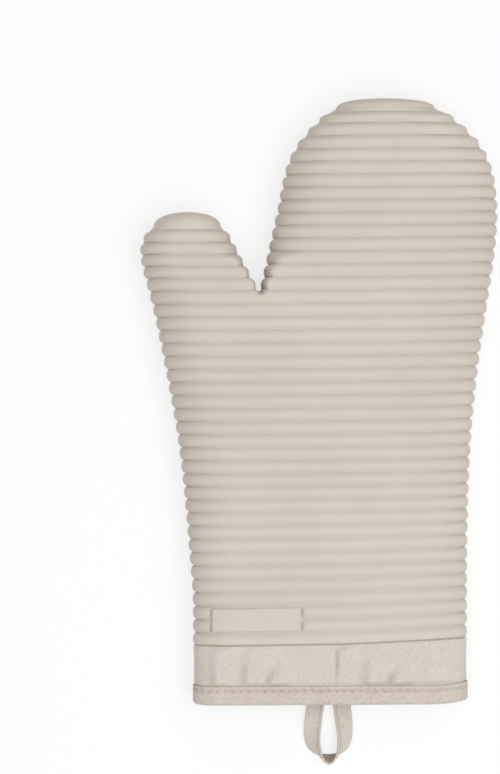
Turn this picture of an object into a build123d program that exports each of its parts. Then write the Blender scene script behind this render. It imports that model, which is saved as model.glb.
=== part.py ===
"""Ribbed silicone oven mitt with a sewn cuff, a wadded lining and a hanging loop.

All sizes are in millimetres. The mitt lies on its back with its fingers along +Y, its thumb
on the -X side and its palm face up. Levels are measured along Y from the hem.
"""

import math
import os

from build123d import *

os.makedirs("parts", exist_ok=True)

# Outline of the hand, seen from above
MITT_LENGTH = 330.0
CUFF_WIDTH = 149.2
CUFF_HEIGHT = 33.2
CROTCH_RIBS = 27
CROTCH_OFFSET = 38.7
LOBE_OFFSET = 30.5
LOBE_HALF_WIDTH = 60.5
LOBE_RISE = 66.0
THUMB_LENGTH = 44.2
THUMB_OFFSET = 77.0
THUMB_HALF_WIDTH = 26.1
THUMB_RISE = 21.0

# Thickness of the mitt above and below the plane where its two faces meet
BACK_DEPTH = 17.0
PALM_RISE = 21.0
FINGER_RISE = 20.0
THUMB_FACE_RISE = 17.0
CUFF_RISE = 15.0
CUFF_LIFT = 0.8
FINGER_DOME = 45.0
THUMB_DOME = 26.0
CROWN_EDGE = 0.82

# Silicone shell
RIB_PITCH = 7.07
RIB_DEPTH = 1.6
SHELL_WALL = 1.2
FLANGE_LENGTH = 8.0
PLATE_LENGTH = 47.8
PLATE_HEIGHT = 12.5
PLATE_OFFSET = 41.0
PLATE_RIBS = 2
PLATE_PROUD = 0.1
PLATE_GAP = 1.3

# Cloth layers and the slack between them
CLOTH = 0.7
BINDING_CLOTH = 0.8
WADDING = 2.8
LAYER_SLACK = 0.2
BINDING_HEIGHT = 10.3

# Sewing threads
THREAD = 0.45
STITCH_LENGTH = 3.0
STITCH_SPACING = 4.3
STITCH_LEVEL = 7.9
STITCH_SLACK = 0.08

# Hanging loop, a folded tape
TAPE_WIDTH = 9.8
TAPE_THICKNESS = 1.2
LOOP_OFFSET = -1.0
LOOP_DROP = 33.0
LOOP_GAP = 5.4
TAIL_LENGTH = 9.0
HINGE_GAP = 0.3

# Derived levels and widths
HALF_CUFF = CUFF_WIDTH / 2
CROTCH_LEVEL = CUFF_HEIGHT + CROTCH_RIBS * RIB_PITCH
LOBE_LEVEL = MITT_LENGTH - LOBE_RISE
LOBE_RIGHT = LOBE_OFFSET + LOBE_HALF_WIDTH
LOBE_LEFT = LOBE_OFFSET - LOBE_HALF_WIDTH
THUMB_TOP = CROTCH_LEVEL + THUMB_LENGTH
THUMB_LEVEL = THUMB_TOP - THUMB_RISE
THUMB_LEFT = -THUMB_OFFSET - THUMB_HALF_WIDTH
THUMB_RIGHT = 0.9 * THUMB_HALF_WIDTH - THUMB_OFFSET
SHOULDER = 0.74
FLARE_START = 0.25 * CROTCH_LEVEL
TRACE_STEPS = 160

# Depth of each layer below the rib crests
SHELL_INNER = RIB_DEPTH + SHELL_WALL
WADDING_OUTER = SHELL_INNER + LAYER_SLACK
WADDING_INNER = WADDING_OUTER + WADDING
LINING_OUTER = WADDING_INNER + LAYER_SLACK
LINING_INNER = LINING_OUTER + CLOTH
CUFF_OUTER = BINDING_CLOTH + LAYER_SLACK
CUFF_INNER = CUFF_OUTER + CLOTH
FLANGE_OUTER = CUFF_INNER + LAYER_SLACK
HEM_LINING_OUTER = CUFF_INNER + LAYER_SLACK
HEM_LINING_INNER = HEM_LINING_OUTER + CLOTH
HEM_OUTER = HEM_LINING_INNER + LAYER_SLACK
HEM_INNER = HEM_OUTER + BINDING_CLOTH
FLANGE_LEVEL = CUFF_HEIGHT - FLANGE_LENGTH
LAYERS_START = BINDING_CLOTH + LAYER_SLACK


def hand_outline(inset):
    """Flat outline of the mitt through its rib crests, drawn in by the inset."""
    crotch = (-CROTCH_OFFSET, CROTCH_LEVEL)
    with BuildSketch() as outline:
        with BuildLine():
            Line((-HALF_CUFF, -CUFF_HEIGHT), (HALF_CUFF, -CUFF_HEIGHT))
            Line((HALF_CUFF, -CUFF_HEIGHT), (HALF_CUFF, FLARE_START))
            rise = LOBE_LEVEL - FLARE_START
            flare = LOBE_RIGHT - HALF_CUFF
            Spline(
                (HALF_CUFF, FLARE_START),
                (HALF_CUFF + 0.33 * flare, FLARE_START + 0.55 * rise),
                (HALF_CUFF + 0.66 * flare, FLARE_START + 0.78 * rise),
                (LOBE_RIGHT, LOBE_LEVEL),
                tangents=[(0, 1), (0, 1)],
            )
            shoulder = LOBE_LEVEL + SHOULDER * LOBE_RISE
            Spline(
                (LOBE_RIGHT, LOBE_LEVEL),
                (LOBE_OFFSET + SHOULDER * LOBE_HALF_WIDTH, shoulder),
                (LOBE_OFFSET, MITT_LENGTH),
                tangents=[(0, 1), (-1, 0)],
            )
            Spline(
                (LOBE_OFFSET, MITT_LENGTH),
                (LOBE_OFFSET - 0.96 * SHOULDER * LOBE_HALF_WIDTH, shoulder),
                (LOBE_LEFT, LOBE_LEVEL),
                tangents=[(-1, 0), (crotch[0] - LOBE_LEFT, crotch[1] - LOBE_LEVEL)],
            )
            Line((LOBE_LEFT, LOBE_LEVEL), crotch)
            thumb_start = (THUMB_RIGHT, THUMB_LEVEL + 0.27 * THUMB_RISE)
            Line(crotch, thumb_start)
            Spline(
                thumb_start,
                (-THUMB_OFFSET, THUMB_TOP),
                tangents=[(thumb_start[0] - crotch[0], thumb_start[1] - crotch[1]), (-1, 0)],
            )
            Spline(
                (-THUMB_OFFSET, THUMB_TOP),
                (-THUMB_OFFSET - SHOULDER * THUMB_HALF_WIDTH, THUMB_LEVEL + 0.62 * THUMB_RISE),
                (THUMB_LEFT, THUMB_LEVEL),
                tangents=[(-1, 0), (0, -1)],
            )
            drop = THUMB_LEVEL - FLARE_START
            swell = THUMB_LEFT + HALF_CUFF
            Spline(
                (THUMB_LEFT, THUMB_LEVEL),
                (0.66 * swell - HALF_CUFF, FLARE_START + 0.75 * drop),
                (0.34 * swell - HALF_CUFF, FLARE_START + 0.5 * drop),
                (-HALF_CUFF, FLARE_START),
                tangents=[(0, -1), (0, -1)],
            )
            Line((-HALF_CUFF, FLARE_START), (-HALF_CUFF, -CUFF_HEIGHT))
        make_face()
        if inset > 0:
            offset(amount=-inset)
    steps = [step / TRACE_STEPS for step in range(TRACE_STEPS + 1)]
    return [edge.positions(steps) for edge in outline.sketch.edges()]


def spans(outline, level):
    """Left and right end of each stretch of the outline at a level, thumb before fingers."""
    found = []
    for points in outline:
        for start, end in zip(points, points[1:]):
            if (start.Y < level) != (end.Y < level):
                share = (level - start.Y) / (end.Y - start.Y)
                found.append(start.X + share * (end.X - start.X))
    found.sort()
    return list(zip(found[::2], found[1::2]))


def across(level, span, rise, depth):
    """Draw the mitt cut across at a level: crowned face, flat back and rounded edges."""
    middle = (span[0] + span[1]) / 2
    half = (span[1] - span[0]) / 2
    edge = min(CROWN_EDGE * rise, 0.8 * half)
    under = min(depth, 0.95 * half)
    crown = ((half - edge) ** 2 + rise**2 - edge**2) / (2 * (rise - edge))
    lean = math.atan2(crown - rise, half - edge)
    foot = (half - edge + edge * math.cos(lean), edge * math.sin(lean))
    bend = (half - edge + edge * math.cos(lean / 2), edge * math.sin(lean / 2))
    turn = under * math.sqrt(0.5)
    place = Plane(origin=(middle, level, BACK_DEPTH), x_dir=(1, 0, 0), z_dir=(0, -1, 0))
    with BuildSketch(place) as section:
        with BuildLine():
            ThreePointArc((half, 0), bend, foot)
            ThreePointArc(foot, (0, rise), (-foot[0], foot[1]))
            ThreePointArc((-foot[0], foot[1]), (-bend[0], bend[1]), (-half, 0))
            ThreePointArc((-half, 0), (under - half - turn, -turn), (under - half, -under))
            Line((under - half, -under), (half - under, -under))
            ThreePointArc((half - under, -under), (half - under + turn, -turn), (half, 0))
        make_face()
    return section.sketch


def smooth(share):
    """Ease from 0 to 1."""
    share = min(max(share, 0), 1)
    return share * share * (3 - 2 * share)


def palm_rise(level):
    """Height of the palm face above the parting plane, low at the cuff."""
    share = (level - CUFF_HEIGHT) / (0.5 * (CROTCH_LEVEL - CUFF_HEIGHT))
    return CUFF_RISE + (PALM_RISE - CUFF_RISE) * smooth(share)


def palm_depth(level):
    """Depth of the back below the parting plane; the cuff is held just off the table."""
    return BACK_DEPTH - CUFF_LIFT * (1 - smooth((level - CUFF_HEIGHT) / RIB_PITCH))


def dome(to_tip, length):
    """Share of the full thickness left at a distance from a rounded tip."""
    share = min(max(to_tip / length, 0), 1)
    return math.sqrt(1 - (1 - share) ** 2)


def palm_section(outline, inset, level):
    """Section below the crotch, across the whole hand."""
    found = spans(outline, level)
    return across(
        level,
        (found[0][0], found[-1][1]),
        palm_rise(level) - inset,
        palm_depth(level) - inset,
    )


def finger_section(outline, inset, level):
    """Section of the finger lobe above the crotch."""
    full = dome(MITT_LENGTH - inset - level, FINGER_DOME - inset)
    rise = (FINGER_RISE - inset) * full
    return across(level, spans(outline, level)[-1], rise, (BACK_DEPTH - inset) * full)


def thumb_section(outline, inset, level):
    """Section of the thumb above the crotch."""
    full = dome(THUMB_TOP - inset - level, THUMB_DOME - inset)
    rise = (THUMB_FACE_RISE - inset) * full
    return across(level, spans(outline, level)[0], rise, (BACK_DEPTH - inset) * full)


def tip_levels(start, tip, count):
    """Levels from a start to just short of a tip, closing up towards the tip."""
    reach = tip - start
    levels = [start + reach * math.sin(0.5 * math.pi * i / count) for i in range(count)]
    return levels + [tip - 0.008 * reach]


def smooth_form(inset, start, mouth=()):
    """Plain solid of the hand at an inset, from a start level to both tips.

    The mouth holds further sections below the start, each as a level and its own inset.
    """
    outline = hand_outline(inset)
    split_level = CROTCH_LEVEL - inset
    above = split_level + 0.02
    palm_steps = 7
    with BuildPart() as form:
        for level, mouth_inset in mouth:
            add(palm_section(hand_outline(mouth_inset), mouth_inset, level))
        for step in range(palm_steps + 1):
            level = start + (split_level - 0.02 - start) * step / palm_steps
            add(palm_section(outline, inset, level))
        loft(ruled=True)
        for section, tip in ((finger_section, MITT_LENGTH), (thumb_section, THUMB_TOP)):
            add(Pos(0, -0.04, 0) * section(outline, inset, above))
            for level in tip_levels(CROTCH_LEVEL, tip - inset, 6):
                add(section(outline, inset, level))
            loft(ruled=True)
    return form.part


def band(inset, low, high):
    """Straight solid of the cuff at an inset between two levels."""
    outline = hand_outline(inset)
    with BuildPart() as form:
        for level in (low, high):
            add(palm_section(outline, inset, level))
        loft(ruled=True)
    return form.part


def hand_in(builder, name):
    """Centre a piece over the origin, name it and write its file."""
    across_x = (THUMB_LEFT + LOBE_RIGHT) / 2
    along_y = (MITT_LENGTH - LOOP_DROP) / 2
    piece = Pos(-across_x, -along_y, 0) * builder.part
    piece.label = name
    export_step(piece, f"parts/{name}.step")


# Silicone shell
crest_outline = hand_outline(0)
shoulder_inset = 0.17 * RIB_DEPTH
shoulder_outline = hand_outline(shoulder_inset)
groove_outline = hand_outline(RIB_DEPTH)
BEAD = (
    (0.0, groove_outline, RIB_DEPTH),
    (0.22, shoulder_outline, shoulder_inset),
    (0.5, crest_outline, 0.0),
    (0.78, shoulder_outline, shoulder_inset),
)


def ribbed(section, first, tip):
    """Loft beads from a rib number up to a tip, closed by a domed cap."""
    count = int((tip - CUFF_HEIGHT) / RIB_PITCH - 0.6)
    for rib in range(first, count):
        for share, outline, inset in BEAD:
            add(section(outline, inset, CUFF_HEIGHT + (rib + share) * RIB_PITCH))
    foot = CUFF_HEIGHT + count * RIB_PITCH
    add(section(groove_outline, RIB_DEPTH, foot))
    for share in (0.25, 0.6, 0.85, 0.96):
        add(section(crest_outline, 0.0, foot + share * (tip - foot)))
    loft(ruled=True)


plate_level = CUFF_HEIGHT + PLATE_RIBS * RIB_PITCH
plate_middle = (-PLATE_OFFSET, plate_level, BACK_DEPTH + PALM_RISE)


def plate_bed(outline, inset):
    """Stretch of the palm as high as the name plate, some way below the rib crests."""
    with BuildPart() as bed:
        for side in (-0.5, 0.5):
            add(palm_section(outline, inset, plate_level + side * PLATE_HEIGHT))
        loft(ruled=True)
    return bed.part


with BuildPart() as name_plate:
    add(plate_bed(crest_outline, -PLATE_PROUD))
    with Locations(plate_middle):
        Box(PLATE_LENGTH, 2 * PLATE_HEIGHT, 2 * PALM_RISE, mode=Mode.INTERSECT)

# Narrow gaps that part the ribs from both ends of the name plate
with BuildPart() as plate_gaps:
    gap_offset = (PLATE_LENGTH + PLATE_GAP) / 2
    with Locations(plate_middle):
        with Locations((-gap_offset, 0, 0), (gap_offset, 0, 0)):
            Box(PLATE_GAP, PLATE_HEIGHT, 2 * PALM_RISE)
    add(plate_bed(groove_outline, RIB_DEPTH), mode=Mode.SUBTRACT)

with BuildPart() as silicone_shell:
    for rib in range(CROTCH_RIBS):
        for share, outline, inset in BEAD:
            add(palm_section(outline, inset, CUFF_HEIGHT + (rib + share) * RIB_PITCH))
    add(palm_section(groove_outline, RIB_DEPTH, CROTCH_LEVEL))
    loft(ruled=True)
    ribbed(finger_section, CROTCH_RIBS, MITT_LENGTH)
    ribbed(thumb_section, CROTCH_RIBS, THUMB_TOP)
    add(plate_gaps.part, mode=Mode.SUBTRACT)
    add([name_plate.part, band(FLANGE_OUTER, FLANGE_LEVEL, CUFF_HEIGHT)])
    add(smooth_form(SHELL_INNER, FLANGE_LEVEL - 1), mode=Mode.SUBTRACT)

hand_in(silicone_shell, "silicone_shell")

# Quilted liner: wadding between the shell and the lining, each a front and a back panel
parting = Plane.XY.offset(BACK_DEPTH)

with BuildPart() as wadding:
    add(smooth_form(WADDING_OUTER, FLANGE_LEVEL))
    add(smooth_form(WADDING_INNER, FLANGE_LEVEL - 1), mode=Mode.SUBTRACT)

mouth_top = BINDING_HEIGHT + 1
lining_start = FLANGE_LEVEL - LAYER_SLACK
with BuildPart() as lining:
    outer_mouth = ((LAYERS_START, HEM_LINING_OUTER), (mouth_top, HEM_LINING_OUTER))
    add(smooth_form(LINING_OUTER, lining_start, outer_mouth))
    inner_mouth = ((LAYERS_START - 1, HEM_LINING_INNER), (mouth_top, HEM_LINING_INNER))
    add(smooth_form(LINING_INNER, lining_start, inner_mouth), mode=Mode.SUBTRACT)

with BuildPart() as cuff:
    add(band(CUFF_OUTER, LAYERS_START, CUFF_HEIGHT - LAYER_SLACK))
    add(band(CUFF_INNER, LAYERS_START - 1, CUFF_HEIGHT), mode=Mode.SUBTRACT)

for name, layer in (("wadding", wadding), ("lining", lining), ("cuff", cuff)):
    for side, keep in (("front", Keep.TOP), ("back", Keep.BOTTOM)):
        with BuildPart() as panel:
            add(layer.part)
            split(bisect_by=parting, keep=keep)
        hand_in(panel, f"{name}_{side}")

# Hem binding folded over the lower edges of the cuff and the lining
with BuildPart() as layer_slot:
    add(band(BINDING_CLOTH, BINDING_CLOTH, 2 * BINDING_HEIGHT))
    add(band(HEM_OUTER, 0, 3 * BINDING_HEIGHT), mode=Mode.SUBTRACT)

with BuildPart() as hem_binding:
    add(band(0, 0, BINDING_HEIGHT))
    add(band(HEM_INNER, -1, 2 * BINDING_HEIGHT), mode=Mode.SUBTRACT)
    add(layer_slot.part, mode=Mode.SUBTRACT)

hand_in(hem_binding, "hem_binding")

# Row of stitches round the binding, each a short bar of thread
proud = STITCH_SLACK + THREAD / 2
stitch_span = (-HALF_CUFF - proud, HALF_CUFF + proud)
stitch_rise = palm_rise(STITCH_LEVEL) + proud
stitch_depth = palm_depth(STITCH_LEVEL) + proud
stitch_path = across(STITCH_LEVEL, stitch_span, stitch_rise, stitch_depth).wire()
stitch_count = int(stitch_path.length / STITCH_SPACING)

stitch_planes = []
for stitch in range(stitch_count):
    share = (stitch + 0.5) / stitch_count
    along = stitch_path.tangent_at(share)
    stitch_planes.append(Plane(stitch_path.position_at(share), x_dir=along, z_dir=(0, 1, 0)))

with BuildPart() as hem_stitching:
    with Locations(*stitch_planes):
        Box(STITCH_LENGTH, THREAD, THREAD)

hand_in(hem_stitching, "hem_stitching")

# Ends of the loop tape, sewn flat inside the back hem
hinge_level = -HINGE_GAP - TAPE_THICKNESS / 2
hinge_height = CUFF_LIFT + HEM_INNER + STITCH_SLACK + TAPE_THICKNESS / 2
leg_offset = (LOOP_GAP + TAPE_WIDTH) / 2
legs = [(LOOP_OFFSET + side * leg_offset, 0, hinge_height) for side in (-1, 1)]

with BuildPart() as loop_tails:
    with Locations(*legs):
        with Locations((0, TAIL_LENGTH / 2, 0)):
            Box(TAPE_WIDTH, TAIL_LENGTH, TAPE_THICKNESS)

hand_in(loop_tails, "loop_tails")

tack_height = TAPE_THICKNESS / 2 + STITCH_SLACK + THREAD / 2
with BuildPart() as loop_bar_tacks:
    with Locations(*legs):
        with Locations(*[(0, share * TAIL_LENGTH, tack_height) for share in (0.3, 0.75)]):
            Box(0.84 * TAPE_WIDTH, 2 * THREAD, THREAD)

hand_in(loop_bar_tacks, "loop_bar_tacks")

# Hanging loop: the tape leaves the hem flat, then tips up on its outer edge round the bend
outer_half = LOOP_GAP / 2 + TAPE_WIDTH
table_height = 0.7 * TAPE_THICKNESS


def loop_station(turn):
    """Outer and inner edge of the tape at a turn from 0 at the leg to 180 at the other leg."""
    swing = math.radians(turn)
    outer_x = -1.05 * outer_half * math.cos(swing)
    outer_y = -LOOP_DROP * (0.48 + 0.37 * math.sin(swing))
    inner_x = -0.85 * LOOP_GAP * math.cos(swing)
    inner_y = -LOOP_DROP * (0.58 + 0.42 * math.sin(swing))
    outer_z = table_height + 0.2 * hinge_height * (1 - math.sin(swing))
    plan = math.hypot(inner_x - outer_x, inner_y - outer_y)
    lift = math.sqrt(max(TAPE_WIDTH**2 - plan**2, 0))
    outer = Vector(LOOP_OFFSET + outer_x, outer_y, outer_z)
    return outer, Vector(LOOP_OFFSET + inner_x, inner_y, outer_z + lift)


def leg_station(side, level):
    """Outer and inner edge of the tape on the flat stretch of a leg."""
    outer = Vector(LOOP_OFFSET + side * outer_half, level, hinge_height)
    return outer, Vector(LOOP_OFFSET + side * LOOP_GAP / 2, level, hinge_height)


flat_end = -0.22 * LOOP_DROP
stations = [leg_station(-1, hinge_level), leg_station(-1, flat_end)]
stations += [loop_station(turn) for turn in (0, 30, 60, 90, 120, 150, 180)]
stations += [leg_station(1, flat_end), leg_station(1, hinge_level)]

tape_planes = []
for index, (outer, inner) in enumerate(stations):
    before = stations[max(index - 1, 0)]
    after = stations[min(index + 1, len(stations) - 1)]
    breadth = (inner - outer).normalized()
    course = after[0] + after[1] - before[0] - before[1]
    course = course - breadth * course.dot(breadth)
    tape_planes.append(Plane(origin=(outer + inner) / 2, x_dir=breadth, z_dir=course))

with BuildPart() as hanging_loop:
    for place in tape_planes:
        with BuildSketch(place):
            Rectangle(TAPE_WIDTH, TAPE_THICKNESS)
    loft(ruled=True)
    with Locations(*[(x, hinge_level, height) for x, _, height in legs]):
        Cylinder(TAPE_THICKNESS / 2, TAPE_WIDTH, rotation=(0, 90, 0))

hand_in(hanging_loop, "hanging_loop")

# Row of stitches along the inner edge of the tape, between one leg's hinge and the other's
edge_inset = 0.34 * TAPE_WIDTH
edge_lift = (TAPE_THICKNESS + THREAD) / 2 + 2 * STITCH_SLACK
edge_planes = []
for start, end in zip(tape_planes[1:], tape_planes[2:-1]):
    low = start.origin + start.x_dir * edge_inset + start.y_dir * edge_lift
    high = end.origin + end.x_dir * edge_inset + end.y_dir * edge_lift
    along = (high - low).normalized()
    count = max(int((high - low).length / STITCH_SPACING + 0.5), 1)
    for stitch in range(count):
        share = (stitch + 0.5) / count
        face = start.y_dir * (1 - share) + end.y_dir * share
        face = face - along * face.dot(along)
        edge_planes.append(Plane(low + (high - low) * share, x_dir=along, z_dir=face))

with BuildPart() as loop_edge_stitching:
    with Locations(*edge_planes):
        Box(0.6 * STITCH_LENGTH, THREAD, THREAD)

hand_in(loop_edge_stitching, "loop_edge_stitching")

print("hinge", LOOP_OFFSET - (THUMB_LEFT + LOBE_RIGHT) / 2)
print(hinge_level - (MITT_LENGTH - LOOP_DROP) / 2, hinge_height)
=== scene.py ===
import math

import bmesh
import bpy
import numpy as np
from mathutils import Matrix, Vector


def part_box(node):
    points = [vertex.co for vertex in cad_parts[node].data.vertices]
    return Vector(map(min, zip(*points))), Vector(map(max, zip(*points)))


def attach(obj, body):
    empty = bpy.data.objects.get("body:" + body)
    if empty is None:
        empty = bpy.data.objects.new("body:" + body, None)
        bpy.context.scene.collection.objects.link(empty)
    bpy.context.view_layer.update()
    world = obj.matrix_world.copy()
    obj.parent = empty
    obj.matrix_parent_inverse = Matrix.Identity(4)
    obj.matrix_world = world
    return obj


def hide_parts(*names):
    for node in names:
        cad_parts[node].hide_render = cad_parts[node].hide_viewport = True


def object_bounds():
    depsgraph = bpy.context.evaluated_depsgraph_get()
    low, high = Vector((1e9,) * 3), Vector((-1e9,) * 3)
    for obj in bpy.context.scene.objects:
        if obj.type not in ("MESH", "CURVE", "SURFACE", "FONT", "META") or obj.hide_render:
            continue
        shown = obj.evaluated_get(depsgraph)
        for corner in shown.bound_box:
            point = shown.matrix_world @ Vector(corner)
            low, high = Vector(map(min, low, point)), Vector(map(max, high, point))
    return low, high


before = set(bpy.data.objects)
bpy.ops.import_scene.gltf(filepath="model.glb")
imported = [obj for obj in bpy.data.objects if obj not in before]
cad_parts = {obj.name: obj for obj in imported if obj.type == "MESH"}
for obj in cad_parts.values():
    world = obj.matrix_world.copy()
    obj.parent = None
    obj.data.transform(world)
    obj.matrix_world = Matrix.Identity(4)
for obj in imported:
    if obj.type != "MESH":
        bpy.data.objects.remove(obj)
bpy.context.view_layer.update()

# Sizes in millimetres, measured from the middle of the hem; +Y runs to the finger tip
MM = 0.001
WIDEN = 1.008
hem_low, hem_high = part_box("hem_binding")
ORIGIN = np.array([(hem_low[0] + hem_high[0]) / 2 / MM, hem_low[1] / MM, 0])

HALF_CUFF = 74.6
CUFF_HEIGHT = 33.2
CROTCH = (-38.7, 224.1)
SPLIT = CROTCH[1]
FINGER_TIP = (30.5, 330.0)
THUMB_TIP = (-77.4, 267.6)
OUTLINE_START = -60.0
PARTING = 17.0
CUFF_RISE = 15.0
PALM_RISE = 21.0
BACK_DEPTH = 17.0
CUFF_LIFT = 0.8

# How the face and the back swell up from the outline
CUFF_REACH = 13.0
PALM_REACH = 26.0
THUMB_REACH = 17.0
BACK_REACH = 17.0
REACH_LEVELS = (12.0, 33.0)
FACE_POWER = 2.4
BACK_POWER = 2.0
BLEND_POWER = 3.0
WEB = 9.0
WEB_LENGTH = 24.0

# Ribs, and how their rows tilt, rise and turn up at the right corner
CROTCH_RIBS = 27
FINGER_RIBS = 41
THUMB_RIBS = 32
RIB_PITCH = (CROTCH[1] - CUFF_HEIGHT) / CROTCH_RIBS
RIB_DEPTH = 1.62
RIB_CREASE = 0.1
CREASE_WIDTH = 0.16
RIB_SCALLOP = 2.5
SCALLOP_ROUND = 0.97
RIB_STEP = 0.8
RIB_CROWN = 0.75
RIB_TILT = 0.0113
TILT_PIVOT = 65.0
RIB_RAISE = 2.0
RAISE_RUN = 75.0
CORNER_RISE = 2.0
CORNER_WIDTH = 78.0
CORNER_RUN = 95.0
CAP_ROWS = 16
CAP_POWER = 1.7
TIP_GAP = 0.004

# Flange under the cuff, seam and plate
FLANGE_LEVELS = (25.2, 27, 29, 31, 32, 32.6)
FLANGE_SINK = 4.0
FLANGE_INSET = 0.3
SEAM_DEPTH = 1.2
PLATE_X = (-64.9, -17.1)
PLATE_Y = (CUFF_HEIGHT + RIB_PITCH + 0.85, CUFF_HEIGHT + 3 * RIB_PITCH - 0.85)
PLATE_GAP = 0.9
PLATE_SOFT = 0.22
PLATE_INSET = 0.1
PLATE_RIM = 0.12
RIM_PLACE = 0.75
RIM_WIDTH = 0.4
GAP_DEPTH = 3.0
GAP_RISE = 1.2
RIB_END_WIDTH = 1.8
RIB_END_SINK = 0.9

# Cloth layers, cuff and hem
WADDING_INSETS = (3.0, 5.8)
LINING_INSETS = (1.95, 6.0)
CLOTH = 0.7
CUFF_INSET = 1.0
CUFF_RUN = 23.0
CUFF_BELLY = 0.3
CUFF_RIPPLE = 0.16
HEM_RISE = 1.6
HEM_BEND = 1.6
HEM_FOLD = 1.8
BINDING_HEIGHT = 10.3
STITCH_LEVEL = 7.9
STITCH_SPACING = 4.3
STITCH_LENGTH = 3.0
STITCH_GROOVE = 0.12
STITCH_PUCKER = 0.85
BINDING_RIPPLE = 0.14
THREAD = 0.45
THREAD_TWIST = 1.6

# Hanging loop
TAPE_WIDTH = 9.8
TAPE_THICKNESS = 1.2
LOOP_OFFSET = 0.0
LOOP_DROP = 35.0
LOOP_GAP = 5.4
TAIL_LENGTH = 9.0
HINGE_LEVEL = -0.9
HINGE_HEIGHT = 5.08

# Directions
ACROSS = np.array([1.0, 0, 0])
UP_HAND = np.array([0, 1.0, 0])
OUTWARD = np.array([0, 0, 1.0])


def smooth(share):
    """Ease from 0 to 1."""
    share = np.clip(share, 0, 1)
    return share * share * (3 - 2 * share)


def bump(value, centre, width):
    """Bell of height 1 about a centre."""
    return np.exp(-(((value - centre) / width) ** 2))


def spline(points, start, end, steps):
    """Smooth curve through points, leaving and arriving along the given directions."""
    points = np.array(points, float)
    reach = np.linalg.norm(np.diff(points, axis=0), axis=1)
    count = len(points)
    system = np.eye(count)
    slopes = np.zeros_like(points)
    slopes[0] = np.array(start, float) / np.linalg.norm(start)
    slopes[-1] = np.array(end, float) / np.linalg.norm(end)
    for i in range(1, count - 1):
        a, b = reach[i - 1], reach[i]
        system[i, i - 1: i + 2] = b, 2 * (a + b), a
        slopes[i] = 3 * (b / a * (points[i] - points[i - 1]) + a / b * (points[i + 1] - points[i]))
    slopes = np.linalg.solve(system, slopes)
    curve = [points[:1]]
    t = np.linspace(0, 1, steps + 1)[1:, None]
    for i in range(count - 1):
        h = reach[i]
        curve.append(
            (2 * t**3 - 3 * t**2 + 1) * points[i]
            + (t**3 - 2 * t**2 + t) * h * slopes[i]
            + (3 * t**2 - 2 * t**3) * points[i + 1]
            + (t**3 - t**2) * h * slopes[i + 1]
        )
    return np.vstack(curve)


def run_along(points):
    """Distance along a line of points, from its first one."""
    return np.concatenate([[0], np.cumsum(np.linalg.norm(np.diff(points, axis=0), axis=1))])


def at_stops(stops, run, points):
    """Points of a line at the given distances along it."""
    return np.stack([np.interp(stops, run, points[:, axis]) for axis in range(points.shape[1])], -1)


def line(a, b, steps):
    """Straight run of points, without the first."""
    return np.array(a) + np.linspace(0, 1, steps + 1)[1:, None] * (np.array(b) - np.array(a))


# The outline runs anticlockwise in four stretches that each rise or fall all the way
right_edge = np.vstack([
    np.array([[HALF_CUFF, OUTLINE_START]]),
    line((HALF_CUFF, OUTLINE_START), (HALF_CUFF, 56), 12),
    spline(
        [(HALF_CUFF, 56), (76.8, 145), (83.0, 201), (89.3, 243), (91.0, 265)],
        (0, 1), (0, 1), 24,
    )[1:],
    spline(
        [(91.0, 265), (85.2, 299), (67.2, 319.2), (56.5, 325.8), FINGER_TIP],
        (0, 1), (-1, 0), 60,
    )[1:],
])
lobe_edge = np.vstack([
    spline(
        [FINGER_TIP, (4.0, 325.6), (-7.8, 316.6), (-22.0, 297.6), (-29.0, 268.7)],
        (-1, 0), (CROTCH[0] + 29.0, CROTCH[1] - 268.7), 60,
    ),
    line((-29.0, 268.7), CROTCH, 24),
])
thumb_edge = np.vstack([
    np.array([CROTCH]),
    line(CROTCH, (-50.2, 246.4), 20),
    spline([(-50.2, 246.4), (-57.4, 258.6), (-64.4, 264.4), THUMB_TIP], (-11.5, 22.3), (-1, 0), 50)[1:],
])
left_edge = np.vstack([
    spline([THUMB_TIP, (-90.6, 264.4), (-97.8, 258.6), (-103.1, 246.8)], (-1, 0), (0, -1), 50),
    spline(
        [(-103.1, 246.8), (-99.3, 227), (-91.4, 191.6), (-81.6, 135), (-76.4, 80), (-HALF_CUFF, 50)],
        (0, -1), (0, -1), 24,
    )[1:],
    line((-HALF_CUFF, 50), (-HALF_CUFF, OUTLINE_START), 12),
])
EDGES = {"right": right_edge, "lobe": lobe_edge, "thumb": thumb_edge, "left": left_edge}
SIDES = {"palm": ("left", "right"), "thumb": ("left", "thumb"), "fingers": ("lobe", "right")}
edge_store = {}


def edge_at(name, level, inset):
    """Place of an outline edge at a level, drawn in by an inset, and how square it stands to X."""
    key = (name, round(inset, 3))
    if key not in edge_store:
        points = EDGES[name]
        along = np.gradient(points, axis=0)
        along /= np.linalg.norm(along, axis=1)[:, None]
        moved = points + inset * np.column_stack([-along[:, 1], along[:, 0]])
        if name == "lobe":
            moved = np.vstack([moved[moved[:, 1] > SPLIT], [(CROTCH[0], SPLIT)]])
        if name == "thumb":
            moved = np.vstack([[(CROTCH[0], SPLIT)], moved[moved[:, 1] > SPLIT]])
        if name in ("lobe", "left"):
            moved = moved[::-1]
        step = np.gradient(moved, axis=0)
        square = np.abs(step[:, 1]) / np.maximum(np.linalg.norm(step, axis=1), 1e-9)
        edge_store[key] = (moved[:, 1], moved[:, 0], square)
    levels, places, square = edge_store[key]
    return np.interp(level, levels, places), np.interp(level, levels, square)


def tip_level(part, inset):
    """Highest level of a part's outline, drawn in by an inset."""
    return {"fingers": FINGER_TIP, "thumb": THUMB_TIP}[part][1] - inset


def rise_at(level):
    """Height of the face above the parting plane, low at the cuff."""
    share = (level - CUFF_HEIGHT) / (0.5 * (CROTCH[1] - CUFF_HEIGHT))
    return CUFF_RISE + (PALM_RISE - CUFF_RISE) * smooth(share)


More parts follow.
